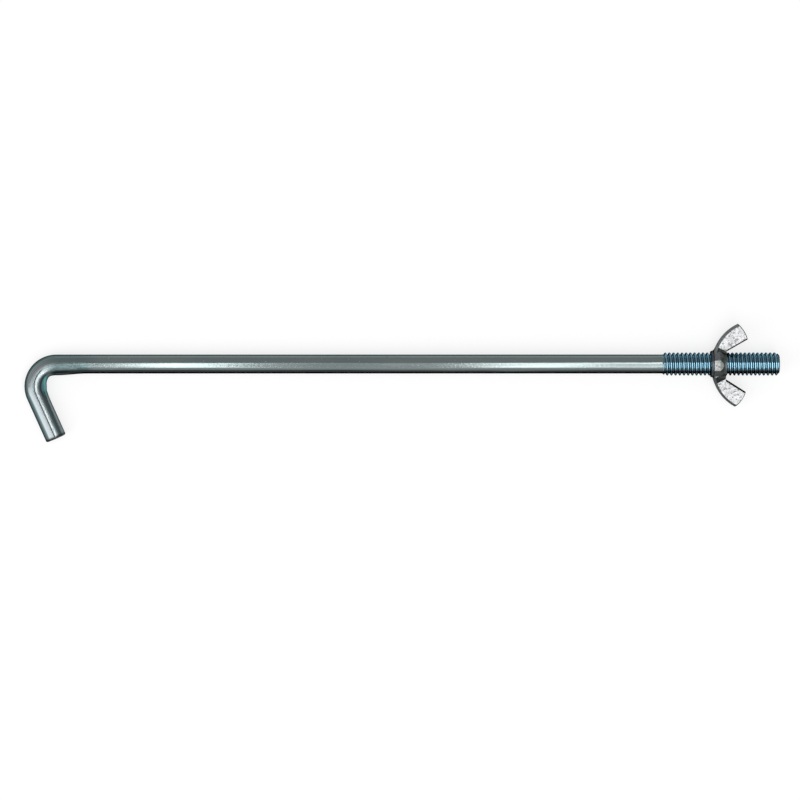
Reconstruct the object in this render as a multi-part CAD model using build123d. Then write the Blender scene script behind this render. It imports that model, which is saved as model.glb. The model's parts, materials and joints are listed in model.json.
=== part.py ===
from build123d import *
import os
from math import acos, atan2, ceil, cos, degrees, hypot, radians, sin, tan

# J bolt, 5/16"-18 UNC by 10 inches, with its forged wing nut. Millimetres.
#
# Both pieces are modelled with the shank along +X, the thread's tip at the +X end and the hook's
# leg bent towards -Y. The last step lays them down as they come to rest on a flat surface: on the
# underside of the hook and on the lowest corner of the nut's hub, a third of a degree out of level.

# --- driving dimensions: hook bolt --------------------------------------------------------------
INCH = 25.4
overall_length = 10.0 * INCH      # from the outside of the bend to the thread's tip
shank_radius = 3.2                # plain rod between the hook and the thread
hook_radius = 3.5                 # the formed bend and leg are a little fuller than the shank
bend_radius = 7.2                 # of the rod's centre line round the bend
bend_angle = 114.2                # how far the rod turns: the leg leans back over the shank
leg_length = 16.0                 # straight part of the leg
leg_end_round = 0.55              # softened edge of the cropped end
upset_length = 10.5               # over which the shank grows into the fuller bend

# --- driving dimensions: 5/16"-18 UNC rolled thread, right hand ---------------------------------
thread_pitch = INCH / 18
thread_major_radius = 3.88
thread_root_radius = 3.0          # the groove is a sharp V
thread_length = 1.5 * INCH + 1.4  # with the run-out
flank_angle = 30.0                # each flank, from a plane square to the axis
run_out_length = 1.3              # cone between the shank and the full crest
tip_chamfer = 0.85

# --- driving dimensions: wing nut ---------------------------------------------------------------
nut_from_tip = 23.0               # bearing face to the thread's tip
nut_turn = 8.0                    # degrees from wings level, as it was left on the thread
nut_bore_radius = 3.96            # 0.08 mm clear of the thread's crest
nut_bore_chamfer = 0.1
collar_radius = 4.45              # round seat at the bearing face
collar_bevel = 0.15
collar_length = 0.65              # with its bevel
collar_shoulder = 0.3             # cone between the collar and the barrel
hub_length = 5.2
hub_flat_radius = 4.65            # from the axis to each of the hub's eight flats
hub_flat_length = 2.75            # from the bearing face to where the flats start to lean in
hub_flat_lean = 6.0               # degrees
hub_waist_radius = 4.95           # the barrel's corners, in the middle of its length
hub_waist_length = 2.95           # from the bearing face to where the corners start to fall
hub_lip_radius = 4.25             # round rim that stands at the top
hub_lip_length = 0.55
# Points on a wing are (distance from the bearing face, distance from the axis).
wing_root_outer = (0.7, 3.4)
wing_shoulder = (3.5, 9.7)        # on the curved outer edge
wing_tip_outer = (8.75, 14.05)
wing_tip_crown = (10.85, 11.7)    # on the rounded tip
wing_tip_inner = (12.15, 8.95)
wing_root_inner = (hub_length, 4.75)
# As forged, both wings together sit a little off the bore's centre and out of square with it.
wing_drift = 0.25
wing_skew = -1.2                  # degrees
# A wing's thickness changes along a line at ramp_angle from the axis, through the hub's centre.
ramp_angle = 62.0
ramp_top = 4.4
ramp_foot = 6.5
ramp_end = 16.5
hub_side_thickness = 5.4          # at the top of the ramp, in the hub
wing_root_thickness = 2.9         # at the foot of the ramp
wing_tip_thickness = 2.3
outer_edge_bevel = 0.8
inner_edge_bevel = 0.5
wing_tip_bevel = 0.25

# --- worked out from the driving dimensions -----------------------------------------------------
upset_drop = hook_radius - shank_radius   # keeps the rod's outer side straight into the bend
bend_centre = Vector(bend_radius + hook_radius, -upset_drop - bend_radius)
bend_turn = radians(bend_angle)
leg_start = bend_centre + Vector(-sin(bend_turn), cos(bend_turn)) * bend_radius
leg_direction = Vector(-cos(bend_turn), -sin(bend_turn))
thread_depth = thread_major_radius - thread_root_radius
thread_start_x = overall_length - thread_length
nut_x = overall_length - nut_from_tip

# At rest the torus of the bend and the lowest corner of the hub both touch Z = 0.
hub_corner_turn = acos(hub_flat_radius / hub_waist_radius) - radians(nut_turn)
hub_drop = hub_waist_radius * cos(hub_corner_turn)
rest_span = nut_x + collar_length + collar_shoulder - bend_centre.X + bend_radius
rest_tilt = acos(hook_radius / hypot(hub_drop, rest_span)) - atan2(rest_span, hub_drop)
rest_lift = hook_radius + (bend_radius - bend_centre.X) * sin(rest_tilt)


def round_bar(start, end, start_radius, end_radius):
    """A bar or an oblique cone from one point to another, both ends square to X."""
    first = Plane(origin=start, z_dir=(1, 0, 0)) * Circle(start_radius)
    last = Plane(origin=end, z_dir=(1, 0, 0)) * Circle(end_radius)
    return loft([first, last], ruled=True)


def hook():
    """The bend and the straight leg, tangent to each other, with the cropped end softened."""
    section = Plane(origin=bend_centre + Vector(0, bend_radius), z_dir=(-1, 0, 0)) * Circle(hook_radius)
    bend = sweep(section, path=CenterArc(bend_centre, bend_radius, 90, bend_angle))
    leg = Plane(origin=leg_start, z_dir=leg_direction) * Cylinder(
        hook_radius, leg_length, align=(Align.CENTER, Align.CENTER, Align.MIN)
    )
    cropped_rim = leg.edges().filter_by(GeomType.CIRCLE).sort_by(Axis(leg_start, leg_direction))[-1]
    return bend + fillet(cropped_rim, leg_end_round)


def thread_profile():
    """One pitch of the thread as (radius, height) corners: crest, falling flank, rising flank."""
    crest_flat = thread_pitch - 2 * thread_depth * tan(radians(flank_angle))
    return [
        (thread_major_radius, 0),
        (thread_major_radius, crest_flat),
        (thread_root_radius, (crest_flat + thread_pitch) / 2),
        (thread_major_radius, thread_pitch),
    ]


def helix(radius, height):
    """One right-hand turn of the thread, starting on the X side."""
    return Helix(thread_pitch, thread_pitch, radius, center=(0, 0, height)).edge()


def threaded_blank():
    """Crest and flanks as ruled strips between helices, turn upon turn, closed by a step at each end."""
    corners = [helix(radius, height) for radius, height in thread_profile()]
    turn = [Face.make_surface_from_curves(low, high) for low, high in zip(corners, corners[1:])]
    axis = Line((0, 0, 0), (0, 0, thread_pitch)).edge()
    tread = Face.make_surface_from_curves(axis, corners[0])
    rim = [(radius, 0, height) for radius, height in thread_profile()]
    riser = make_face(Polyline((0, 0, 0), *rim, (0, 0, thread_pitch), close=True)).face()
    turns = ceil(thread_length / thread_pitch) + 2
    skin = [Pos(0, 0, count * thread_pitch) * strip for count in range(turns) for strip in turn]
    steps = [Pos(0, 0, height) * face for height in (0, turns * thread_pitch) for face in (tread, riser)]
    return Solid(Shell(skin + steps))


def threaded_end():
    """The threaded blank trimmed to length, with the run-out cone and the tip's chamfer."""
    clear = thread_major_radius + 1
    run_out_slope = (thread_major_radius - shank_radius) / run_out_length
    envelope = Polyline(
        (0, 0),
        (shank_radius, 0),
        (clear, (clear - shank_radius) / run_out_slope),
        (clear, thread_length - tip_chamfer - (clear - thread_major_radius)),
        (thread_major_radius - tip_chamfer, thread_length),
        (0, thread_length),
        close=True,
    )
    trimmed = Pos(0, 0, -thread_pitch) * threaded_blank() & revolve(Plane.XZ * make_face(envelope), Axis.Z)
    return Plane(origin=(thread_start_x, 0, 0), z_dir=(1, 0, 0)) * trimmed


def hook_bolt():
    """Hook, upset, shank and thread: one rod."""
    upset_start = Vector(bend_centre.X, -upset_drop, 0)
    upset_end = Vector(bend_centre.X + upset_length, 0, 0)
    upset = round_bar(upset_start, upset_end, hook_radius, shank_radius)
    shank = round_bar(upset_end, Vector(thread_start_x, 0, 0), shank_radius, shank_radius)
    return hook() + upset + shank + threaded_end()


def nut_hub():
    """Bevelled collar, a barrel whose eight forged flats lean in towards the top, and a round lip."""
    profile = Polyline(
        (0, 0),
        (0, collar_radius - collar_bevel),
        (collar_bevel, collar_radius),
        (collar_length, collar_radius),
        (collar_length + collar_shoulder, hub_waist_radius),
        (hub_waist_length, hub_waist_radius),
        (hub_length - hub_lip_length, hub_lip_radius),
        (hub_length, hub_lip_radius),
        (hub_length, 0),
        close=True,
    )
    barrel = revolve(make_face(profile), Axis.X)
    octagon = Plane.YZ * RegularPolygon(hub_flat_radius, 8, major_radius=False, rotation=22.5)
    flats = extrude(octagon, hub_flat_length)
    leaning = extrude(Pos(hub_flat_length, 0, 0) * octagon, hub_length - hub_flat_length, taper=hub_flat_lean)
    return barrel & (flats + leaning)


def wing_outline():
    """The wing's outline in the plane of both wings, reaching down into the hub."""
    return make_face(
        Curve()
        + [
            ThreePointArc(wing_root_outer, wing_shoulder, wing_tip_outer),
            ThreePointArc(wing_tip_outer, wing_tip_crown, wing_tip_inner),
            Line(wing_tip_inner, wing_root_inner),
            Line(wing_root_inner, (wing_root_inner[0], 0)),
            Line((wing_root_inner[0], 0), (wing_root_outer[0], 0)),
            Line((wing_root_outer[0], 0), wing_root_outer),
        ]
    )


def wing():
    """One wing: thick in the hub, a ramp down to the blade, then thinner towards the tip."""
    hub_half = hub_side_thickness / 2
    root_half = wing_root_thickness / 2
    tip_half = wing_tip_thickness / 2
    upper = [(0, hub_half), (ramp_top, hub_half), (ramp_foot, root_half), (ramp_end, tip_half)]
    lower = [(along, -half) for along, half in reversed(upper)]
    along_ramp = Vector(1, 0).rotate(Axis.Z, ramp_angle)
    side_plane = Plane(origin=(0, 0, 0), x_dir=along_ramp, z_dir=along_ramp.cross(Vector(0, 0, 1)))
    side_profile = side_plane * make_face(Polyline(*upper, *lower, close=True))
    return extrude(wing_outline(), hub_half, both=True) & extrude(side_profile, ramp_end, both=True)


def bevelled(blade):
    """The wing with its outer edge, its inner edge and its tip bevelled on both faces."""
    inner_middle = (Vector(wing_root_inner) + Vector(wing_tip_inner)) / 2
    for point_on_side, bevel in (
        (wing_shoulder, outer_edge_bevel),
        (inner_middle, inner_edge_bevel),
        (wing_tip_crown, wing_tip_bevel),
    ):
        side = blade.faces().sort_by_distance(Vector(point_on_side))[0]
        rims = side.edges().filter_by(lambda edge: abs(edge.center().Z) > wing_tip_thickness / 4)
        blade = chamfer(rims, bevel)
    return blade


def nut_bore():
    """What is drilled from the nut, with a small chamfer at each mouth."""
    mouth_radius = nut_bore_radius + nut_bore_chamfer
    profile = Polyline(
        (-1, 0),
        (-1, mouth_radius),
        (0, mouth_radius),
        (nut_bore_chamfer, nut_bore_radius),
        (hub_length - nut_bore_chamfer, nut_bore_radius),
        (hub_length, mouth_radius),
        (hub_length + 1, mouth_radius),
        (hub_length + 1, 0),
        close=True,
    )
    return revolve(make_face(profile), Axis.X)


def wing_nut():
    """Hub and both wings, one forging, turned on the bolt's axis and set along the thread."""
    one_wing = bevelled(wing())
    both_wings = one_wing + mirror(one_wing, Plane.XZ)
    forging = nut_hub() + Pos(0, -wing_drift, 0) * Rot(0, 0, wing_skew) * both_wings
    return Pos(nut_x, 0, 0) * Rot(nut_turn, 0, 0) * (forging - nut_bore())


def laid_down(shapes):
    """The shapes at rest on Z = 0, with their common box centred on the Z axis."""
    down = [Pos(0, 0, rest_lift) * Rot(0, -degrees(rest_tilt), 0) * shape for shape in shapes]
    middle = Compound(down).bounding_box().center()
    return [Pos(-middle.X, -middle.Y, 0) * shape for shape in down]


if __name__ == "__main__":
    os.makedirs("parts", exist_ok=True)
    for name, shape in zip(("hook_bolt", "wing_nut"), laid_down([hook_bolt(), wing_nut()])):
        export_step(shape, f"parts/{name}.step")
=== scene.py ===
import json
from math import atan2, cos, exp, hypot, pi, radians, sin, tan
from types import SimpleNamespace

import bmesh
import bpy
from bpy.props import FloatProperty, FloatVectorProperty, IntProperty, PointerProperty
from mathutils import Matrix, Vector


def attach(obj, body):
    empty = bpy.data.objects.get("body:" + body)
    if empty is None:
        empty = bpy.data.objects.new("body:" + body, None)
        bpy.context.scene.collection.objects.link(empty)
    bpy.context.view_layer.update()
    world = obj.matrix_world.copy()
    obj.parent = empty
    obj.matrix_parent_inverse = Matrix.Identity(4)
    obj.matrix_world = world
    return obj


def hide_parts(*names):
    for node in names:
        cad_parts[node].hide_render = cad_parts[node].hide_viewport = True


bl_info = {
    "name": "J Bolt and Wing Nut",
    "version": (1, 0, 0),
    "blender": (4, 5, 0),
    "location": "View3D > Sidebar > J Bolt",
    "description": "Makes a zinc-plated J bolt with its forged wing nut, laid on a pale floor",
    "category": "Add Mesh",
}

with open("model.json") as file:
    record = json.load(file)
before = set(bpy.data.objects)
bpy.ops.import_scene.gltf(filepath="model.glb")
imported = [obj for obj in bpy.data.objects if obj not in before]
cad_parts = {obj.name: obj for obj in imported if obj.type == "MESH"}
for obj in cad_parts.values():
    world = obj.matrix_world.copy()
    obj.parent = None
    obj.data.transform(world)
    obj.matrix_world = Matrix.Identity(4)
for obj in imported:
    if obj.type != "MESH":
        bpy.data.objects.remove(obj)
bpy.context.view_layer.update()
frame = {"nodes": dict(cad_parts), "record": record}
MOUNTS = {mount["name"]: mount for mount in frame["record"]["mounts"]}
MM = 0.001
INCH = 0.0254


# --- sizes and colours ----------------------------------------------------------------------------

def length_size(name, description, millimetres):
    return FloatProperty(
        name=name, description=description, default=millimetres * MM, min=0, unit="LENGTH"
    )


def metal_colour(name, description, colour):
    return FloatVectorProperty(
        name=name, description=description, default=colour, subtype="COLOR", size=3, min=0, max=1
    )


class RodSizes(bpy.types.PropertyGroup):
    """The plain rod and its hook."""
    overall_length: length_size("Overall length", "Outside of the bend to the thread's tip", 254.0)
    shank_radius: length_size("Shank radius", "Plain rod between the hook and the thread", 3.2)
    hook_radius: length_size("Hook radius", "The bend and leg are fuller than the shank", 3.5)
    bend_radius: length_size("Bend radius", "Of the rod's centre line round the bend", 7.2)
    bend_angle: FloatProperty(
        name="Bend angle", description="How far the rod turns", default=radians(114.2),
        subtype="ANGLE"
    )
    leg_length: length_size("Leg length", "Straight part of the hook's leg", 16.0)
    leg_end_round: length_size("Leg end round", "Softened edge of the cropped end", 0.55)
    upset_length: length_size("Upset length", "Over which the shank grows into the bend", 10.5)
    inner_bulge: length_size("Inner bulge", "Metal pressed flat and proud inside the bend", 0.5)
    inner_hollow: length_size("Inner hollow", "Tighter corner between the shank and the bulge", 0.3)
    sides: IntProperty(name="Sides", description="Points round the rod", default=72, min=12)


class ThreadSizes(bpy.types.PropertyGroup):
    """The rolled 5/16 in, 18 to the inch thread."""
    pitch: FloatProperty(
        name="Pitch", description="From crest to crest", default=INCH / 18, min=0, unit="LENGTH"
    )
    crest_radius: length_size("Crest radius", "Over the crests", 3.88)
    root_radius: length_size("Root radius", "At the bottom of the groove", 3.2)
    root_flat: length_size("Root flat", "Width of the groove's flat bottom", 0.24)
    crest_rounding: length_size("Crest rounding", "How softly the crest turns into the flanks", 0.2)
    flank_angle: FloatProperty(
        name="Flank angle", description="From a plane square to the axis", default=radians(30),
        subtype="ANGLE"
    )
    length: length_size("Thread length", "With the run-out", 39.5)
    run_out: length_size("Run-out", "Cone between the shank and the full crest", 1.3)
    tip_chamfer: length_size("Tip chamfer", "At the thread's end", 0.85)
    steps_per_turn: IntProperty(
        name="Steps a turn", description="Along the helix", default=28, min=8
    )


class NutSizes(bpy.types.PropertyGroup):
    """The forged wing nut."""
    edge_round: length_size("Edge round", "Softened edges of the forging", 0.14)
    collar_length: length_size("Collar length", "Dull collar at the seat", 0.95)
    flat_end: length_size("End of the flats", "From the seat to the hub's cone", 3.9)


class Finish(bpy.types.PropertyGroup):
    """Colours of the plated pieces and of the floor."""
    rod: metal_colour("Rod", "Bright zinc on the plain rod", (0.235, 0.275, 0.275))
    hook: metal_colour("Hook", "Zinc on the formed hook, a little brighter", (0.33, 0.37, 0.385))
    thread: metal_colour("Thread", "Bluish zinc on the thread's crests", (0.185, 0.34, 0.43))
    # Groove colour: painted shade down in the thread.
    groove: metal_colour("Groove", "Darker zinc down in the thread", (0.12, 0.235, 0.295))
    # Teal colour: painted shade down the rod's sides, and the colour of the scuffs.
    teal_shade_and_scuffs: metal_colour("Teal shade", "Down the rod's sides, in scuffs", (0.07, 0.115, 0.12))
    pressed: metal_colour("Pressed face", "Rubbed inside the bend", (0.14, 0.33, 0.34))
    # The duller patches and the thread's cut end, and painted shade on the shank by the bend.
    dull_zinc_and_shade: metal_colour("Dull zinc", "In patches, by the bend and on the tip", (0.17, 0.22, 0.225))
    # Darkest colour: painted shade at the crease, the leg's end and the nut's rims facing front or
    # right, the painted dark reflection along the shank, and the thin dark line along the hook.
    painted_shade_and_dark_lines: metal_colour("Tarnish", "Dull line, seam, crease and dark edges", (0.035, 0.04, 0.04))
    pits: metal_colour("Pits", "Dark bottoms of the rod's pits", (0.03, 0.035, 0.035))
    nut: metal_colour("Nut", "Zinc on the flats of the nut", (0.2, 0.205, 0.205))
    # Wings: lighter than the hub, a painted highlight.
    wings: metal_colour("Wings", "Zinc rubbed bright on the wings", (0.3, 0.305, 0.31))
    # Nut rims: also the painted shade along the fold at the wings' roots.
    nut_rims: metal_colour("Nut rims", "Zinc on the nut's rims and sides", (0.245, 0.26, 0.26))
    # Cone: painted shade on the hub's cone.
    cone: metal_colour("Cone", "Dull zinc on the hub's cone", (0.09, 0.105, 0.1))
    # Leaning flats: painted shade where the flats lean in.
    leaning: metal_colour("Leaning flats", "Where the flats lean in", (0.1, 0.115, 0.11))
    collar: metal_colour("Collar", "Dark zinc round the seat's collar", (0.04, 0.045, 0.06))
    collar_line: metal_colour("Collar line", "Lighter line on the collar", (0.09, 0.115, 0.12))
    nut_pits: metal_colour("Nut pits", "Bottoms of the forging's pits", (0.09, 0.09, 0.1))
    floor: metal_colour("Floor", "Plain pale floor", (0.95, 0.95, 0.95))
    floor_lift: FloatProperty(
        name="Floor lift", description="How much the floor is lifted to white where it is seen",
        default=0.72, min=0, max=1, subtype="FACTOR",
    )


# --- mesh helpers ---------------------------------------------------------------------------------

def smooth_step(low, high, value):
    """0 below low, 1 above high, and a smooth rise between them."""
    share = min(max((value - low) / (high - low), 0.0), 1.0)
    return share * share * (3 - 2 * share)


def bell(value, middle, width):
    """A bump of height 1 at the middle."""
    return exp(-((value - middle) / width) ** 2)


def soft_least(first, second, softness):
    """The smaller of two lengths, with the corner between them rounded."""
    blend = max(softness - abs(first - second), 0.0) / softness
    return min(first, second) - blend * blend * softness / 4


def only(kind, geometry):
    return [item for item in geometry if isinstance(item, kind)]


def extrude_ring(bm, ring, move, scale=1.0):
    """Extrudes an open ring of edges, shifts it, and scales it about its own middle."""
    grown = bmesh.ops.extrude_edge_only(bm, edges=ring)["geom"]
    verts = only(bmesh.types.BMVert, grown)
    middle = sum((vert.co for vert in verts), Vector()) / len(verts)
    bmesh.ops.scale(bm, verts=verts, vec=(scale,) * 3, space=Matrix.Translation(-middle))
    bmesh.ops.translate(bm, verts=verts, vec=move)
    fresh = set(verts)
    return [edge for edge in only(bmesh.types.BMEdge, grown) if fresh.issuperset(edge.verts)]


def spin_ring(bm, ring, centre, axis, angle, steps, advance=Vector()):
    """Sweeps a ring of edges round an axis, moving it along as it turns; returns the last ring."""
    verts = list({vert for edge in ring for vert in edge.verts})
    swept = bmesh.ops.spin(
        bm, geom=verts + ring, cent=centre, axis=axis, dvec=advance / steps, angle=angle,
        steps=steps,
    )
    return only(bmesh.types.BMEdge, swept["geom_last"])


def cap_ring(bm, ring, inward, dish):
    """Closes a ring with a border and a shallow dish, as a sheared end has."""
    border = extrude_ring(bm, ring, inward * dish * 0.2, scale=0.9)
    bowl = extrude_ring(bm, border, inward * dish * 0.8, scale=0.5)
    bmesh.ops.contextual_create(bm, geom=bowl)


def finished_piece(bm, name, material, body):
    """A mesh object at the origin, smooth, with its material, riding on a body of the frame."""
    bmesh.ops.recalc_face_normals(bm, faces=bm.faces)
    mesh = bpy.data.meshes.new(name)
    bm.to_mesh(mesh)
    bm.free()
    mesh.polygons.foreach_set("use_smooth", [True] * len(mesh.polygons))
    mesh.materials.append(material)
    piece = bpy.data.objects.new(name, mesh)
    bpy.context.scene.collection.objects.link(piece)
    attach(piece, body)
    return piece


# --- material helpers -----------------------------------------------------------------------------

def wire(tree, kind, inputs=None, **settings):
    """A node of that kind; each input is a plain value, or another node's output to join to it."""
    node = tree.nodes.new(kind)
    for name, value in settings.items():
        setattr(node, name, value)
    for key, value in (inputs or {}).items():
        if isinstance(value, bpy.types.NodeSocket):
            tree.links.new(value, node.inputs[key])
        else:
            node.inputs[key].default_value = value
    return node


def grain(tree, place, size, detail=3.0, roughness=0.5):
    """Noise from 0 to 1 whose blotches have that size, in metres, along each axis of the place."""
    scale = [1 / side for side in size]
    spread = wire(tree, "ShaderNodeMapping", {"Vector": place, "Scale": scale})
    inputs = {
        "Vector": spread.outputs["Vector"], "Scale": 1.0, "Detail": detail, "Roughness": roughness,
    }
    return wire(tree, "ShaderNodeTexNoise", inputs).outputs["Fac"]


def between(tree, value, low, high, out_low=0.0, out_high=1.0):
    """The value's stretch from low to high, mapped smoothly to a new one and held beyond it."""
    inputs = {
        "Value": value, "From Min": low, "From Max": high, "To Min": out_low, "To Max": out_high,
    }
    node = wire(tree, "ShaderNodeMapRange", inputs, interpolation_type="SMOOTHSTEP")
    return node.outputs["Result"]


def reckon(tree, operation, first, second=0.0):
    return wire(tree, "ShaderNodeMath", {0: first, 1: second}, operation=operation).outputs["Value"]


def reckon_vector(tree, operation, first, second):
    """A vector sum: a number for a dot product or a length, and otherwise a vector."""
    node = wire(tree, "ShaderNodeVectorMath", {0: first, 1: second}, operation=operation)
    return node.outputs["Value" if operation in ("DOT_PRODUCT", "LENGTH") else "Vector"]


def product(tree, first, *others):
    """Shares multiplied together: how far a point lies in all of their regions at once."""
    for other in others:
        first = reckon(tree, "MULTIPLY", first, other)
    return first


def distance_from(tree, value, middle):
    return reckon(tree, "ABSOLUTE", reckon(tree, "SUBTRACT", value, middle))


def shifted(start, stretch):
    return [start + step for step in stretch]


def tinted(tree, share, first, second):
    """A colour that goes from the first to the second with the share."""
    node = wire(tree, "ShaderNodeMix", {"Factor": share}, data_type="RGBA")
    for key, colour in (("A", first), ("B", second)):
        socket = next(s for s in node.inputs if s.name == key and s.type == "RGBA")
        if isinstance(colour, bpy.types.NodeSocket):
            tree.links.new(colour, socket)
        else:
            socket.default_value = (*colour, 1.0)
    return next(s for s in node.outputs if s.type == "RGBA")


def raised(tree, height, distance, below=None):
    """A bump of that height in metres, laid over the bump below it."""
    inputs = {"Height": height, "Distance": distance, "Strength": 1.0}
    if below is not None:
        inputs["Normal"] = below
    return wire(tree, "ShaderNodeBump", inputs).outputs["Normal"]


def metal(name):
    """A plated metal with dark grazing reflections, and its shader to be joined up."""
    material = bpy.data.materials.new(name)
    material.use_nodes = True
    shader = material.node_tree.nodes["Principled BSDF"]
    shader.inputs["Metallic"].default_value = 1.0
    shader.inputs["Specular Tint"].default_value = (0.0, 0.0, 0.0, 1.0)
    return material, material.node_tree, shader


# --- hook bolt ------------------------------------------------------------------------------------

# Each stretch below runs from where a region or mark is absent, or weakest, to where it is full.
# Along the rod, from the start of the bend and positive towards the thread:
ON_HOOK = (2 * MM, -6 * MM)
ON_LEG = (-9 * MM, -15 * MM)
WORKED = (14 * MM, 4 * MM)
NEAR_BEND = (16 * MM, 8 * MM)
SCUFFED_BEFORE_BEND = (13 * MM, 10 * MM)
SCUFFED_INTO_BEND = (-4 * MM, 0)
HOOK_LINE_START = (-3 * MM, -6 * MM)
PRESSED_START = (-3.5 * MM, -7 * MM)
PRESSED_END = (-17.5 * MM, -13.5 * MM)
# along the rod, from the leg's end, the thread's start and the thread's end:
HOOK_LINE_END = (0.2 * MM, 0.6 * MM)
LEG_END_SHADE = (1.1 * MM, 0.4 * MM)
IN_THREAD = (-1 * MM, 2 * MM)
CUT_END = (-0.35 * MM, -0.2 * MM)
# across the rod, as shares of its radius, towards the inside of the bend:
DARK_REFLECTION_LINE = (0.62, 0.74)
DARK_REFLECTION_LINE_RIM = (1.0, 0.92)
SCUFFED_SIDE = (-0.15, 0.1)
INNER_SHADE = (0.42, 0.6)
INNER_SHADE_RIM = (1.0, 0.76)
CREASE_SIDE = (0.6, 0.68)
PRESSED_SIDE = (0.74, 0.84)
# the same towards the outside of the bend:
OUTER_SHADE = (0.62, 0.74)
OUTER_SHADE_RIM = (0.98, 0.86)
OUTER_SHADE_WIDER_ON_LEG = 0.17
HOOK_LINE_SIDE = -0.06
HOOK_LINE_HALF_WIDTH = (0.075, 0.03)
# heights from the centre line, which keep the painted dark reflection and the hook's dark line off
# the underside:
ABOVE = (-2.4 * MM, -1.2 * MM)
# and levels of the noise:
PATCHED = (0.35, 0.7)
SCUFFED = (0.4, 0.6)
PITTED = (0.74, 0.8)

# How far down the flanks the crests' zinc keeps its colour, before the groove's painted shade.
BELOW_CREST = 0.13 * MM


def rod_regions(tree, rod, thread):
    """Where a point lies on the rod before it was bent, and how far in each of its regions."""
    path = wire(tree, "ShaderNodeAttribute", attribute_name="rod_path").outputs["Vector"]
    place = wire(tree, "ShaderNodeSeparateXYZ", {"Vector": path}).outputs
    along, outwards, up = place["X"], place["Y"], place["Z"]
    across = wire(tree, "ShaderNodeCombineXYZ", {"Y": outwards, "Z": up}).outputs["Vector"]
    thread_end = rod.overall_length - rod.bend_radius - rod.hook_radius
    thread_start = thread_end - thread.length
    on_hook = between(tree, along, *ON_HOOK)
    return SimpleNamespace(
        path=path,
        along=along,
        leg_end=-rod.bend_angle * rod.bend_radius - rod.leg_length,
        thread_end=thread_end,
        radius=reckon_vector(tree, "LENGTH", across, (0.0, 0.0, 0.0)),
        inner_side=reckon(tree, "MULTIPLY", outwards, -1 / rod.shank_radius),
        outer_side=reckon(tree, "MULTIPLY", outwards, 1 / rod.hook_radius),
        above=between(tree, up, *ABOVE),
        on_hook=on_hook,
        on_shank=reckon(tree, "SUBTRACT", 1.0, on_hook),
        worked=between(tree, along, *WORKED),
        in_thread=between(tree, along, *shifted(thread_start, IN_THREAD)),
    )


def rod_skin(tree, path):
    """The patches, mottling, streaks, scuffs and pits of the rod's zinc."""
    patches = grain(tree, path, (30 * MM, 5 * MM, 5 * MM), detail=2.0)
    specks = grain(tree, path, (0.9 * MM, 0.5 * MM, 0.5 * MM), detail=1.0)
    return SimpleNamespace(
        patches=patches,
        ragged=reckon(tree, "MULTIPLY", reckon(tree, "SUBTRACT", patches, 0.5), 0.2),
        mottle=grain(tree, path, (1.0 * MM, 0.6 * MM, 0.6 * MM), detail=4.0, roughness=0.6),
        streaks=grain(tree, path, (40 * MM, 0.3 * MM, 0.3 * MM), detail=3.0),
        scuffs=grain(tree, path, (3 * MM, 0.4 * MM, 0.4 * MM), detail=3.0),
        pits=between(tree, specks, *PITTED),
    )


def shank_colour(tree, at, skin, finish):
    """The zinc of shank and hook, duller in patches, with painted shade and scuffs by the bend."""
    colour = tinted(tree, at.on_hook, finish.rod, finish.hook)
    patched = between(tree, skin.patches, *PATCHED, out_high=0.4)
    colour = tinted(tree, patched, colour, finish.dull_zinc_and_shade)
    # Painted shade by the bend, where the shank's reflection is dimmer.
    near_bend = product(tree, between(tree, at.along, *NEAR_BEND), at.on_shank)
    colour = tinted(tree, near_bend, colour, finish.dull_zinc_and_shade)
    scuffed = product(
        tree,
        between(tree, skin.scuffs, *SCUFFED, out_low=0.3, out_high=0.8),
        between(tree, at.along, *SCUFFED_BEFORE_BEND),
        between(tree, at.along, *SCUFFED_INTO_BEND),
        between(tree, at.inner_side, *SCUFFED_SIDE),
    )
    return tinted(tree, scuffed, colour, finish.teal_shade_and_scuffs)


def side_shades(tree, at, colour, finish):
    """Painted shade down the outer side and the hook's inner side, fading again at their rims."""
    wider = between(tree, at.along, *ON_LEG, out_high=OUTER_SHADE_WIDER_ON_LEG)
    outer = product(
        tree,
        between(tree, reckon(tree, "ADD", at.outer_side, wider), *OUTER_SHADE),
        between(tree, at.on_hook, 0.0, 1.0, out_low=0.45, out_high=0.85),
        between(tree, at.outer_side, *OUTER_SHADE_RIM, out_low=0.4),
    )
    colour = tinted(tree, outer, colour, finish.teal_shade_and_scuffs)
    inner = product(
        tree,
        between(tree, at.inner_side, *INNER_SHADE, out_high=0.9),
        at.on_hook,
        between(tree, at.inner_side, *INNER_SHADE_RIM, out_low=0.35),
    )
    return tinted(tree, inner, colour, finish.teal_shade_and_scuffs)


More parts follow.
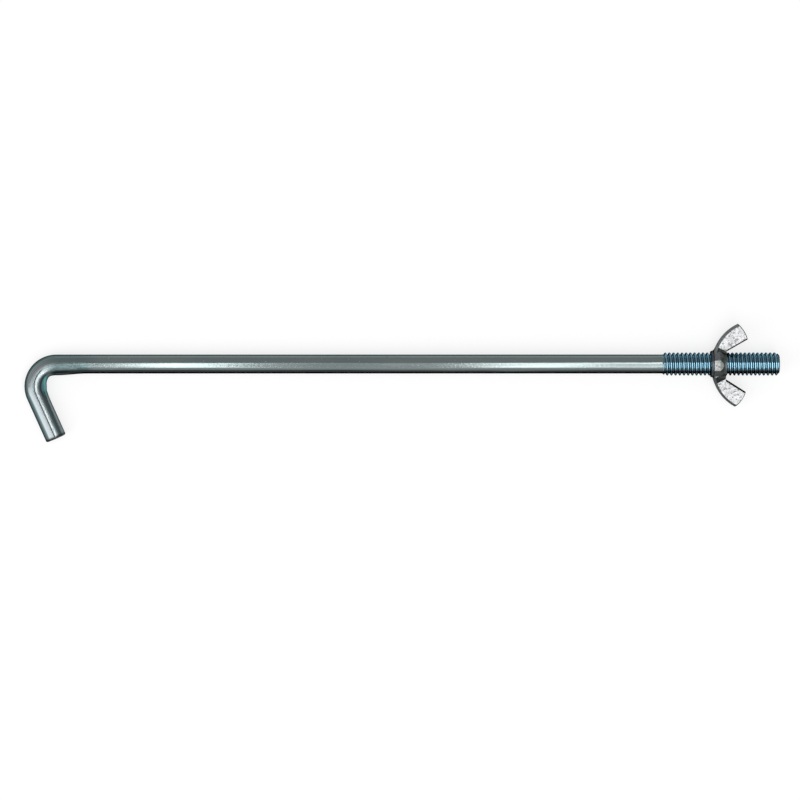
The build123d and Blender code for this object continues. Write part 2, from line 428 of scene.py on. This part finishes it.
def hook_marks(tree, at, skin, colour, finish):
    """A thin dark line along the hook, painted shade round the leg's end, and the face pressed
    inside the bend with painted shade in its crease.
    """
    wander = reckon(tree, "ADD", at.outer_side, reckon(tree, "MULTIPLY", skin.ragged, 0.3))
    # A thin dark line along the hook.
    hook_line = product(
        tree,
        between(tree, distance_from(tree, wander, HOOK_LINE_SIDE), *HOOK_LINE_HALF_WIDTH),
        at.above,
        between(tree, at.along, *HOOK_LINE_START),
        between(tree, at.along, *shifted(at.leg_end, HOOK_LINE_END)),
        0.95,
    )
    colour = tinted(tree, hook_line, colour, finish.painted_shade_and_dark_lines)
    # Painted shade round the leg's end.
    leg_end_shade = between(tree, at.along, *shifted(at.leg_end, LEG_END_SHADE), out_high=0.8)
    colour = tinted(tree, leg_end_shade, colour, finish.painted_shade_and_dark_lines)

    fraying = reckon(tree, "MULTIPLY", reckon(tree, "SUBTRACT", skin.mottle, 0.5), 5 * MM)
    frayed = reckon(tree, "ADD", at.along, fraying)
    pressed = product(
        tree, between(tree, frayed, *PRESSED_START), between(tree, frayed, *PRESSED_END)
    )
    # Painted shade in the crease beside the pressed face.
    crease = product(tree, pressed, between(tree, at.inner_side, *CREASE_SIDE, out_high=0.7))
    colour = tinted(tree, crease, colour, finish.painted_shade_and_dark_lines)
    face = product(tree, pressed, between(tree, at.inner_side, *PRESSED_SIDE))
    return tinted(tree, face, colour, finish.pressed)


def thread_colour(tree, at, colour, thread, finish):
    """Bluish zinc over the thread, with painted shade down its groove, and duller zinc on its cut
    end.
    """
    below_crest = thread.crest_radius - BELOW_CREST
    groove = between(tree, at.radius, below_crest, thread.root_radius, out_high=0.8)
    zinc = tinted(tree, groove, finish.thread, finish.groove)
    colour = tinted(tree, at.in_thread, colour, zinc)
    cut_end = between(tree, at.along, *shifted(at.thread_end, CUT_END))
    return tinted(tree, cut_end, colour, finish.dull_zinc_and_shade)


def dark_reflection_line(tree, at, skin, colour, finish):
    """A painted dark reflection: a line along the inner side of the shank."""
    # Painted dark reflection along the inner side of the shank.
    line = product(
        tree,
        between(tree, reckon(tree, "ADD", at.inner_side, skin.ragged), *DARK_REFLECTION_LINE),
        between(tree, at.inner_side, *DARK_REFLECTION_LINE_RIM, out_low=0.45),
        at.above,
        at.on_shank,
    )
    return tinted(tree, line, colour, finish.painted_shade_and_dark_lines)


def rod_zinc(rod, thread, finish):
    """Bright zinc over drawn wire: streaks along the rod, mottling, pits, a bluish thread, and
    painted shade and a painted dark reflection.
    """
    material, tree, shader = metal("rod_zinc")
    at = rod_regions(tree, rod, thread)
    skin = rod_skin(tree, at.path)
    colour = shank_colour(tree, at, skin, finish)
    colour = side_shades(tree, at, colour, finish)
    colour = hook_marks(tree, at, skin, colour, finish)
    colour = thread_colour(tree, at, colour, thread, finish)
    colour = dark_reflection_line(tree, at, skin, colour, finish)
    colour = tinted(tree, product(tree, skin.pits, 0.8), colour, finish.pits)
    tree.links.new(colour, shader.inputs["Base Color"])

    drawn = between(tree, skin.streaks, 0.3, 0.7, out_low=0.06, out_high=0.13)
    drawn = reckon(tree, "ADD", drawn, product(tree, skin.pits, 0.3))
    rougher = reckon(
        tree, "ADD", product(tree, at.worked, 0.19), product(tree, at.in_thread, 0.08)
    )
    tree.links.new(reckon(tree, "ADD", drawn, rougher), shader.inputs["Roughness"])

    relief = raised(tree, skin.streaks, 0.003 * MM)
    mottling = product(tree, skin.mottle, between(tree, at.worked, 0.0, 1.0, out_low=0.3))
    relief = raised(tree, mottling, 0.03 * MM, relief)
    relief = raised(tree, reckon(tree, "SUBTRACT", 1.0, skin.pits), 0.04 * MM, relief)
    tree.links.new(relief, shader.inputs["Normal"])
    return material


def bend_centre(rod):
    """The middle of the bend, with X from the bend's outside and Y from the shank's axis."""
    inwards = rod.shank_radius - rod.hook_radius - rod.bend_radius
    return Vector((rod.bend_radius + rod.hook_radius, inwards, 0))


def straight_rod(bm, rod, thread):
    """Shank, upset and thread along X from the bend; returns the ring at the bend."""
    start = Vector((rod.bend_radius + rod.hook_radius, rod.shank_radius - rod.hook_radius, 0))
    facing_x = Matrix.Translation(start) @ Matrix.Rotation(pi / 2, 4, "Y")
    circle = bmesh.ops.create_circle(
        bm, segments=rod.sides, radius=rod.hook_radius, matrix=facing_x
    )
    first = list({edge for vert in circle["verts"] for edge in vert.link_edges})

    ring = first
    upset_rings = 8
    radius = rod.hook_radius
    for count in range(1, upset_rings + 1):
        share = smooth_step(0, upset_rings, count)
        target = rod.hook_radius + (rod.shank_radius - rod.hook_radius) * share
        step = Vector((rod.upset_length / upset_rings, radius - target, 0))
        ring = extrude_ring(bm, ring, step, scale=target / radius)
        radius = target

    plain = rod.overall_length - thread.length - start.x - rod.upset_length
    plain_rings = 48
    for count in range(plain_rings):
        ring = extrude_ring(bm, ring, Vector((plain / plain_rings, 0, 0)))

    turns = thread.length / thread.pitch
    ring = spin_ring(
        bm, ring, Vector(), (1, 0, 0), 2 * pi * turns,
        steps=round(turns * thread.steps_per_turn), advance=Vector((thread.length, 0, 0)),
    )
    cut_thread(bm, rod, thread)
    cap_ring(bm, ring, Vector((-1, 0, 0)), dish=0.15 * MM)
    return first


def thread_height(rod, thread, x, turn):
    """The thread's radius at a distance along the rod and an angle round it, in turns."""
    start = rod.overall_length - thread.length
    phase = ((x - start) / thread.pitch - turn) % 1.0
    flank_width = (thread.crest_radius - thread.root_radius) * tan(thread.flank_angle)
    crest_flat = thread.pitch - thread.root_flat - 2 * flank_width
    root_phase = 0.5 + crest_flat / thread.pitch / 2
    from_root = abs(phase - root_phase) * thread.pitch
    from_root = min(from_root, thread.pitch - from_root)
    rise = max(from_root - thread.root_flat / 2, 0.0) / tan(thread.flank_angle)
    radius = soft_least(thread.root_radius + rise, thread.crest_radius, thread.crest_rounding)
    radius = min(radius, rod.overall_length - x + thread.crest_radius - thread.tip_chamfer)
    run_out_slope = (thread.crest_radius - rod.shank_radius) / thread.run_out
    radius = min(radius, rod.shank_radius + (x - start) * run_out_slope)
    first_turn_grows = 0.6 * thread.pitch
    full = smooth_step(0, first_turn_grows, x - start)
    return rod.shank_radius + (radius - rod.shank_radius) * full


def cut_thread(bm, rod, thread):
    """Moves each point of the twisted end in or out to the thread's crest, flank or root."""
    start = rod.overall_length - thread.length
    for vert in bm.verts:
        if vert.co.x > start:
            turn = (atan2(vert.co.z, vert.co.y) - pi / 2) / (2 * pi)
            scale = thread_height(rod, thread, vert.co.x, turn) / hypot(vert.co.y, vert.co.z)
            vert.co.y *= scale
            vert.co.z *= scale


def hook(bm, ring, rod):
    """Bends the rod on from the ring and runs out the straight leg to its softened end."""
    centre = bend_centre(rod)
    ring = spin_ring(bm, ring, centre, (0, 0, 1), rod.bend_angle, steps=56)
    down = Vector((-cos(rod.bend_angle), -sin(rod.bend_angle), 0))
    leg_rings = 8
    for count in range(leg_rings):
        ring = extrude_ring(bm, ring, down * (rod.leg_length - rod.leg_end_round) / leg_rings)
    round_rings = 5
    for count in range(round_rings):
        before, after = (step / round_rings * pi / 2 for step in (count, count + 1))
        radius_before, radius_after = (
            rod.hook_radius - rod.leg_end_round * (1 - cos(turn)) for turn in (before, after)
        )
        advance = rod.leg_end_round * (sin(after) - sin(before))
        ring = extrude_ring(bm, ring, down * advance, scale=radius_after / radius_before)
    cap_ring(bm, ring, -down, dish=0.1 * MM)


def rod_path(rod, point):
    """Where a point would be on the rod before it was bent: along, outwards and up."""
    centre = bend_centre(rod)
    arm = point - centre
    if arm.x >= 0 and arm.y > 0:
        return Vector((arm.x, point.y, point.z))
    turn = atan2(-arm.x, arm.y) % (2 * pi)
    if turn <= rod.bend_angle:
        return Vector((-turn * rod.bend_radius, hypot(arm.x, arm.y) - rod.bend_radius, point.z))
    outwards = Vector((-sin(rod.bend_angle), cos(rod.bend_angle), 0))
    down = Vector((-cos(rod.bend_angle), -sin(rod.bend_angle), 0))
    along = -rod.bend_angle * rod.bend_radius - arm.dot(down)
    return Vector((along, arm.dot(outwards) - rod.bend_radius, point.z))


# Angles round the bend from its start: the middle and the width of each of the tool's marks, and
# how far before and past the bend they may reach.
BULGE = (radians(92), radians(26))
HOLLOW = (radians(36), radians(17))
MARKS_BEFORE_BEND = 0.3
MARKS_PAST_BEND = 0.6
# They fade in from this share of the radius, over the rest of it.
MARKS_SIDE = 0.72
MARKS_FADE = 0.28


def press_inner_bend(bm, rod, path):
    """The bending tool's marks: a proud face inside the bend and a tighter corner before it."""
    centre = bend_centre(rod)
    for vert in bm.verts:
        turn = -vert[path].x / rod.bend_radius
        if not -MARKS_BEFORE_BEND < turn < rod.bend_angle + MARKS_PAST_BEND:
            continue
        side = -vert[path].y / rod.hook_radius
        inner = min(max((side - MARKS_SIDE) / MARKS_FADE, 0.0), 1.0)
        push = rod.inner_bulge * bell(turn, *BULGE)
        push -= rod.inner_hollow * bell(turn, *HOLLOW)
        reach = Vector((centre.x - vert.co.x, centre.y - vert.co.y, 0))
        if reach.length > 0:
            vert.co += reach.normalized() * push * inner


class JBOLT_OT_make_rod(bpy.types.Operator):
    """Makes the hook bolt: bend, leg, shank and rolled thread in one closed mesh"""
    bl_idname = "j_bolt.make_rod"
    bl_label = "Make Hook Bolt"

    def execute(self, context):
        scene = context.scene
        rod, thread, finish = scene.j_bolt_rod, scene.j_bolt_thread, scene.j_bolt_finish
        bm = bmesh.new()
        path = bm.verts.layers.float_vector.new("rod_path")
        ring = straight_rod(bm, rod, thread)
        hook(bm, ring, rod)
        for vert in bm.verts:
            vert[path] = rod_path(rod, vert.co)
        press_inner_bend(bm, rod, path)
        tip = Vector(MOUNTS["threaded_end"]["pos_m"])
        along = Vector(MOUNTS["threaded_end"]["axis"]).normalized()
        across = Vector((0, 1, 0))
        turned = Matrix((along, across, along.cross(across))).transposed().to_4x4()
        placing = Matrix.Translation(tip) @ turned @ Matrix.Translation((-rod.overall_length, 0, 0))
        bmesh.ops.transform(bm, matrix=placing, verts=bm.verts)
        piece = finished_piece(bm, "bolt", rod_zinc(rod, thread, finish), "bolt")
        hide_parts("hook_bolt")
        return {"FINISHED"}


# --- wing nut -------------------------------------------------------------------------------------

# Each pair runs from where the region or mark is absent to where it is full, as on the rod.
# Distances out from the bolt's axis:
WINGS_BEGIN = (4.6 * MM, 4.9 * MM)
ROOT_FOLD = 5.9 * MM
ROOT_FOLD_HALF_WIDTH = (0.22 * MM, 0.1 * MM)
# along the axis from the seat:
FLATS_LEAN = (2.7 * MM, 3.0 * MM)
COLLAR_LINE = 0.5 * MM
BESIDE_COLLAR_LINE = (0.15 * MM, 0.3 * MM)
# along the axis from the collar's end and from the end of the flats:
COLLAR = (0.15 * MM, 0)
CONE = (-0.1 * MM, 0.5 * MM)
# the surface's direction, up or down, to the front and to the right:
FACING_UP_OR_DOWN = (0.9, 0.985)
FACING_FRONT = (0.1, -0.3)
FACING_RIGHT = (-0.1, 0.3)
# and levels of the noise:
NUT_PATCHED = (0.5, 0.7)
NUT_PITTED = (0.58, 0.66)


def nut_zinc(nut, finish):
    """Zinc over a forged skin, lighter on flats and wings, with painted highlight on the wings,
    painted shade on rims, root fold, leaning flats and cone, and darker round the collar.
    """
    material, tree, shader = metal("nut_zinc")
    coordinates = wire(tree, "ShaderNodeTexCoord").outputs
    place = coordinates["Object"]
    seat = MOUNTS["wing_nut_seat"]
    from_seat = reckon_vector(tree, "SUBTRACT", place, seat["pos_m"])
    along = reckon(tree, "ABSOLUTE", reckon_vector(tree, "DOT_PRODUCT", from_seat, seat["axis"]))
    sideways = wire(tree, "ShaderNodeSeparateXYZ", {"Vector": from_seat}).outputs["Y"]
    across = reckon(tree, "ABSOLUTE", sideways)
    facing = wire(tree, "ShaderNodeSeparateXYZ", {"Vector": coordinates["Normal"]}).outputs
    flat = between(tree, reckon(tree, "ABSOLUTE", facing["Z"]), *FACING_UP_OR_DOWN)
    on_wing = between(tree, across, *WINGS_BEGIN)
    on_hub = reckon(tree, "SUBTRACT", 1.0, on_wing)
    mottle = grain(tree, place, (1.1 * MM,) * 3, detail=4.0, roughness=0.6)
    patches = grain(tree, place, (2.6 * MM,) * 3, detail=3.0, roughness=0.6)
    specks = grain(tree, place, (0.75 * MM,) * 3, detail=2.0)
    pits = between(tree, specks, *NUT_PITTED)

    # Lighter wings than hub: a painted highlight.
    bright = tinted(tree, on_wing, finish.nut, finish.wings)
    # Painted shade along the fold at the wings' roots.
    from_fold = distance_from(tree, across, ROOT_FOLD)
    fold = between(tree, from_fold, *ROOT_FOLD_HALF_WIDTH, out_high=0.6)
    bright = tinted(tree, fold, bright, finish.nut_rims)
    patched = between(tree, patches, *NUT_PATCHED, out_high=0.45)
    bright = tinted(tree, patched, bright, finish.nut)
    # Painted shade on rims facing the front, and on rims facing right.
    to_front = between(tree, facing["Y"], *FACING_FRONT, out_high=0.7)
    rims = tinted(tree, to_front, finish.nut_rims, finish.painted_shade_and_dark_lines)
    to_right = between(tree, facing["X"], *FACING_RIGHT)
    rims = tinted(tree, to_right, rims, finish.painted_shade_and_dark_lines)
    colour = tinted(tree, flat, rims, bright)

    # Painted shade where the flats lean in.
    leaning = product(tree, between(tree, along, *FLATS_LEAN), on_hub, 0.5)
    colour = tinted(tree, leaning, colour, finish.leaning)
    # Painted shade on the hub's cone.
    cone = between(tree, along, *shifted(nut.flat_end, CONE))
    colour = tinted(tree, product(tree, cone, on_hub), colour, finish.cone)
    beside_line = between(tree, distance_from(tree, along, COLLAR_LINE), *BESIDE_COLLAR_LINE)
    collar_zinc = tinted(tree, beside_line, finish.collar_line, finish.collar)
    collar = between(tree, along, *shifted(nut.collar_length, COLLAR))
    colour = tinted(tree, product(tree, collar, on_hub), colour, collar_zinc)
    colour = tinted(tree, product(tree, pits, 0.5), colour, finish.nut_pits)
    tree.links.new(colour, shader.inputs["Base Color"])
    roughness = between(tree, mottle, 0.3, 0.7, out_low=0.25, out_high=0.4)
    tree.links.new(roughness, shader.inputs["Roughness"])

    relief = raised(tree, mottle, 0.04 * MM)
    relief = raised(tree, reckon(tree, "SUBTRACT", 1.0, pits), 0.04 * MM, relief)
    tree.links.new(relief, shader.inputs["Normal"])
    return material


class JBOLT_OT_make_nut(bpy.types.Operator):
    """Makes the wing nut: the forging with every edge softened"""
    bl_idname = "j_bolt.make_nut"
    bl_label = "Make Wing Nut"

    def execute(self, context):
        nut, finish = context.scene.j_bolt_nut, context.scene.j_bolt_finish
        bm = bmesh.new()
        bm.from_mesh(frame["nodes"]["wing_nut"].data)
        bmesh.ops.remove_doubles(bm, verts=bm.verts, dist=0.001 * MM)
        bmesh.ops.dissolve_limit(bm, angle_limit=radians(1), verts=bm.verts, edges=bm.edges)
        least_corner = radians(20)
        sharp = [
            edge for edge in bm.edges
            if edge.is_manifold and edge.calc_face_angle() > least_corner
        ]
        bmesh.ops.bevel(
            bm, geom=sharp, offset=nut.edge_round, offset_type="OFFSET", segments=3, profile=0.5,
            affect="EDGES", material=-1, clamp_overlap=True,
        )
        zinc = nut_zinc(nut, finish)
        piece = finished_piece(bm, "wing_nut_forging", zinc, "nut")
        evened = piece.modifiers.new("even shading", "WEIGHTED_NORMAL")
        evened.keep_sharp = True
        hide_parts("wing_nut")
        return {"FINISHED"}


# --- stage ----------------------------------------------------------------------------------------

STRIP_DIRECTION = (0, -0.29, 0.96)
WORLD_LEVEL = 0.5
FLOOR_HALF_SIZE = 3.0
CAMERA_LENS = 126.4
# The camera's place along X from the origin, along Y from the rod's axis, and above the floor.
CAMERA_X = -0.48 * MM
CAMERA_FROM_ROD = -12.11 * MM
CAMERA_HEIGHT = 950 * MM


def softbox(name, direction, distance, size, radiance, slide=0.0):
    """A flat lamp facing the middle of the object from that direction, slid along its own width."""
    lamp = bpy.data.lights.new(name, "AREA")
    lamp.shape = "RECTANGLE"
    lamp.size, lamp.size_y = size
    lamp.energy = radiance * pi * size[0] * size[1]
    holder = bpy.data.objects.new(name, lamp)
    facing = Vector(direction).to_track_quat("Z", "Y")
    holder.location = facing @ Vector((slide, 0, distance))
    holder.rotation_euler = facing.to_euler()
    bpy.context.scene.collection.objects.link(holder)


def floor_paper(finish):
    """Pale paper, lifted towards white where it is seen or mirrored, so its shadows are faint."""
    paper = bpy.data.materials.new("floor_paper")
    paper.use_nodes = True
    tree = paper.node_tree
    shader = tree.nodes["Principled BSDF"]
    shader.inputs["Base Color"].default_value = (*finish.floor, 1.0)
    shader.inputs["Roughness"].default_value = 0.9
    shader.inputs["Specular IOR Level"].default_value = 0.1
    ray = wire(tree, "ShaderNodeLightPath").outputs
    seen = reckon(tree, "MAXIMUM", ray["Is Camera Ray"], ray["Is Glossy Ray"])
    seen = reckon(tree, "MAXIMUM", seen, ray["Is Transmission Ray"])
    white = wire(tree, "ShaderNodeEmission", {"Color": (1.0, 1.0, 1.0, 1.0), "Strength": 1.0})
    share = reckon(tree, "MULTIPLY", seen, finish.floor_lift)
    mix = {0: share, 1: shader.outputs[0], 2: white.outputs[0]}
    lifted = wire(tree, "ShaderNodeMixShader", mix)
    tree.links.new(lifted.outputs[0], tree.nodes["Material Output"].inputs["Surface"])
    return paper


class JBOLT_OT_lay_stage(bpy.types.Operator):
    """Lays the pale floor, hangs the softboxes and sets the camera"""
    bl_idname = "j_bolt.lay_stage"
    bl_label = "Lay Stage"

    def execute(self, context):
        bm = bmesh.new()
        bmesh.ops.create_grid(bm, x_segments=1, y_segments=1, size=FLOOR_HALF_SIZE)
        mesh = bpy.data.meshes.new("floor")
        bm.to_mesh(mesh)
        bm.free()
        mesh.materials.append(floor_paper(context.scene.j_bolt_finish))
        floor = bpy.data.objects.new("floor", mesh)
        context.scene.collection.objects.link(floor)

        world = bpy.data.worlds.new("studio")
        world.use_nodes = True
        background = world.node_tree.nodes["Background"].inputs
        background["Color"].default_value = (WORLD_LEVEL, WORLD_LEVEL, WORLD_LEVEL, 1.0)
        background["Strength"].default_value = 1.0
        context.scene.world = world

        # The thread box and the nut strip overlap, so each hangs in a plane of its own.
        softbox("diffuser", (0, -0.47, 0.88), distance=1.35, size=(1.4, 2.2), radiance=0.36)
        softbox(
            "hook strip", STRIP_DIRECTION, distance=1.2, size=(0.08, 1.3), radiance=3.7,
            slide=-0.185,
        )
        softbox(
            "middle strip", STRIP_DIRECTION, distance=1.2, size=(0.085, 1.3), radiance=3.2,
            slide=0.093,
        )
        softbox(
            "thread box", STRIP_DIRECTION, distance=1.18, size=(0.31, 1.3), radiance=1.2,
            slide=0.3,
        )
        softbox(
            "nut strip", STRIP_DIRECTION, distance=1.16, size=(0.2, 1.3), radiance=2.5,
            slide=0.31,
        )
        softbox("leg box", (0.21, 0.14, 0.97), distance=1.22, size=(0.4, 0.2), radiance=2.0)
        softbox("side box", (-0.75, -0.33, 0.57), distance=0.9, size=(0.6, 1.05), radiance=1.7)

        lens = bpy.data.cameras.new("camera")
        lens.sensor_width = 36.0
        lens.lens = CAMERA_LENS
        lens.clip_start = 0.01
        camera = bpy.data.objects.new("camera", lens)
        rod_line = MOUNTS["threaded_end"]["pos_m"][1]
        camera.location = (CAMERA_X, rod_line + CAMERA_FROM_ROD, CAMERA_HEIGHT)
        context.scene.collection.objects.link(camera)
        context.scene.camera = camera
        context.scene.view_settings.view_transform = "Standard"
        return {"FINISHED"}


# --- panel and registration -----------------------------------------------------------------------

class JBOLT_PT_panel(bpy.types.Panel):
    """Lists the sizes, the finishes and the operators"""
    bl_idname = "JBOLT_PT_panel"
    bl_label = "J Bolt"
    bl_space_type = "VIEW_3D"
    bl_region_type = "UI"
    bl_category = "J Bolt"

    def draw(self, context):
        for group in GROUPS:
            settings = getattr(context.scene, group)
            box = self.layout.box()
            for name in settings.__annotations__:
                box.prop(settings, name)
        for operator in OPERATORS:
            self.layout.operator(operator.bl_idname)


GROUPS = {
    "j_bolt_rod": RodSizes,
    "j_bolt_thread": ThreadSizes,
    "j_bolt_nut": NutSizes,
    "j_bolt_finish": Finish,
}
OPERATORS = (JBOLT_OT_make_rod, JBOLT_OT_make_nut, JBOLT_OT_lay_stage)


def register():
    for kind in (*GROUPS.values(), *OPERATORS, JBOLT_PT_panel):
        bpy.utils.register_class(kind)
    for name, kind in GROUPS.items():
        setattr(bpy.types.Scene, name, PointerProperty(type=kind))


def unregister():
    for name in GROUPS:
        delattr(bpy.types.Scene, name)
    for kind in reversed((*GROUPS.values(), *OPERATORS, JBOLT_PT_panel)):
        bpy.utils.unregister_class(kind)


def main():
    register()
    bpy.ops.j_bolt.make_rod()
    bpy.ops.j_bolt.make_nut()
    bpy.ops.j_bolt.lay_stage()


if __name__ == "__main__":
    main()
